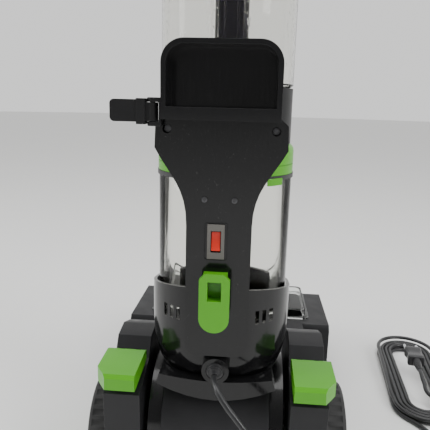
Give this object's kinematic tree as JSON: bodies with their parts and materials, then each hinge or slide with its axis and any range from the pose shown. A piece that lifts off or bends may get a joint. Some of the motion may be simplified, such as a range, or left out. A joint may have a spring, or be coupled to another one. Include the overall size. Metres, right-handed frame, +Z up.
{
  "type": "upright carpet cleaner",
  "caption": "Upright carpet cleaner with a tilting body, a clear clean-water tank above a clear dirty-water tank, and a wheeled brush head.",
  "frame": {"origin": "middle of the footprint, on the floor", "axes": "+Z up, +Y towards the nozzle, +X to the right of a person standing behind the machine"},
  "size_m": [0.5175, 0.5348, 1.085],
  "materials": {
    "gloss_black": "high gloss, moulded",
    "satin_black": "satin, lightly textured",
    "dark_grey": "fine textured",
    "green": "semi-gloss, moulded in colour",
    "tyre_black": "matt rubber",
    "steel": "turned",
    "motor_metal": "cast, with copper windings inside",
    "clear": "clear, polished",
    "stem_violet": "dark violet-black, high gloss",
    "switch_red": "translucent red, lit from inside when on",
    "switch_grey": "grey",
    "cord_black": "smooth PVC sheath"
  },
  "bodies": {
    "base": {"chassis": "satin_black", "hood": "dark_grey", "nozzle_window": "clear", "suction_nozzle": "satin_black", "recovery_duct": "satin_black", "arm_left": "dark_grey", "arm_right": "dark_grey", "pivot_bush_left": "switch_grey", "pivot_bush_right": "switch_grey", "tilt_pedal_pin": "steel", "brush_pedal_pin": "steel", "brush_motor": "motor_metal", "spray_bar": "satin_black", "drive_belt": "tyre_black", "axle_left": "steel", "axle_right": "steel", "cord_bundle": "cord_black", "mains_plug": "cord_black"},
    "wheel_left": {"tyre_left": "tyre_black", "wheel_left": "green"},
    "wheel_right": {"tyre_right": "tyre_black", "wheel_right": "green"},
    "brush": {"brush_core": "satin_black", "brush_bristles": "green", "brush_pulley": "switch_grey"},
    "motor_pulley": {"motor_pulley": "steel"},
    "tilt_pedal": {"tilt_pedal": "green"},
    "brush_pedal": {"brush_pedal": "green"},
    "upright": {"drum_housing": "gloss_black", "drum_cover": "dark_grey", "suction_motor": "motor_metal", "lower_body": "gloss_black", "lower_trim": "gloss_black", "water_pump": "satin_black", "cord_grommet": "cord_black", "spine_cover": "gloss_black", "storage_bin": "gloss_black", "upper_housing": "satin_black", "spine_screw_left": "steel", "spine_screw_right": "steel", "ear_screw_left": "steel", "ear_screw_right": "steel", "switch_bezel": "switch_grey", "hose_hook_bracket": "satin_black", "handle_stem": "stem_violet", "handle_grip": "satin_black", "cord_lead": "cord_black"},
    "suction_fan": {"suction_fan": "satin_black"},
    "power_rocker": {"power_rocker": "switch_red"},
    "cord_hook": {"cord_hook": "green"},
    "hose_hook": {"hose_hook_arm": "satin_black"},
    "spray_trigger": {"spray_trigger": "green"},
    "clean_tank": {"clean_tank": "clear", "clean_tank_lid": "satin_black"},
    "fill_cap": {"fill_cap": "green"},
    "dirty_tank": {"dirty_tank": "clear", "tank_gasket": "tyre_black", "dirty_tank_lid": "green", "lid_latch": "green", "dirty_tank_front": "satin_black"}
  },
  "joints": [
    {"name": "tilt", "type": "hinge", "parent": "base", "child": "upright", "pos_m": [0, -0.1415, 0.078], "axis": [1, 0, 0], "range_deg": [0, 55], "deforming": ["cord_lead"]},
    {"name": "wheel_left_roll", "type": "hinge", "parent": "base", "child": "wheel_left", "pos_m": [-0.131, -0.1415, 0.057], "axis": [1, 0, 0], "continuous": true},
    {"name": "wheel_right_roll", "type": "hinge", "parent": "base", "child": "wheel_right", "pos_m": [0.131, -0.1415, 0.057], "axis": [1, 0, 0], "continuous": true},
    {"name": "brush_spin", "type": "hinge", "parent": "base", "child": "brush", "pos_m": [0, 0.1335, 0.0295], "axis": [1, 0, 0], "continuous": true},
    {"name": "motor_pulley_spin", "type": "hinge", "parent": "base", "child": "motor_pulley", "pos_m": [0.1365, 0.0795, 0.068], "axis": [1, 0, 0], "continuous": true},
    {"name": "tilt_pedal_press", "type": "hinge", "parent": "base", "child": "tilt_pedal", "pos_m": [-0.098, -0.1835, 0.163], "axis": [1, 0, 0], "range_deg": [0, 12], "stiffness_Nm_per_rad": 1.5, "springref_deg": -5.73},
    {"name": "brush_pedal_press", "type": "hinge", "parent": "base", "child": "brush_pedal", "pos_m": [0.098, -0.1835, 0.163], "axis": [1, 0, 0], "range_deg": [0, 12], "stiffness_Nm_per_rad": 1.5, "springref_deg": -5.73},
    {"name": "suction_fan_spin", "type": "hinge", "parent": "upright", "child": "suction_fan", "pos_m": [0.036, -0.1415, 0.078], "axis": [1, 0, 0], "continuous": true},
    {"name": "power_rocker_tip", "type": "hinge", "parent": "upright", "child": "power_rocker", "pos_m": [-0.0024, -0.2175, 0.307], "axis": [1, 0, 0], "range_deg": [0, 16]},
    {"name": "cord_hook_turn", "type": "hinge", "parent": "upright", "child": "cord_hook", "pos_m": [-0.0016, -0.2215, 0.262], "axis": [0, 1, 0], "range_deg": [0, 180]},
    {"name": "hose_hook_swing", "type": "hinge", "parent": "upright", "child": "hose_hook", "pos_m": [-0.061, -0.2258, 0.426], "axis": [0, 0, 1], "range_deg": [0, 90]},
    {"name": "spray_trigger_pull", "type": "hinge", "parent": "upright", "child": "spray_trigger", "pos_m": [0, -0.1145, 1.059], "axis": [-1, 0, 0], "range_deg": [0, 12], "stiffness_Nm_per_rad": 0.3, "springref_deg": -5.73},
    {"name": "clean_tank_lift", "type": "slide", "parent": "upright", "child": "clean_tank", "axis": [0, 0, 1], "range_m": [0, 0.12]},
    {"name": "fill_cap_turn", "type": "hinge", "parent": "clean_tank", "child": "fill_cap", "pos_m": [0, -0.1555, 0.66], "axis": [0, 0, 1], "range_deg": [0, 90]},
    {"name": "dirty_tank_pull", "type": "slide", "parent": "upright", "child": "dirty_tank", "axis": [0, 1, 0], "range_m": [0, 0.16]}
  ],
  "couplings": [
    {"joint": "motor_pulley_spin", "follows": "brush_spin", "ratio": 2.4444}
  ]
}
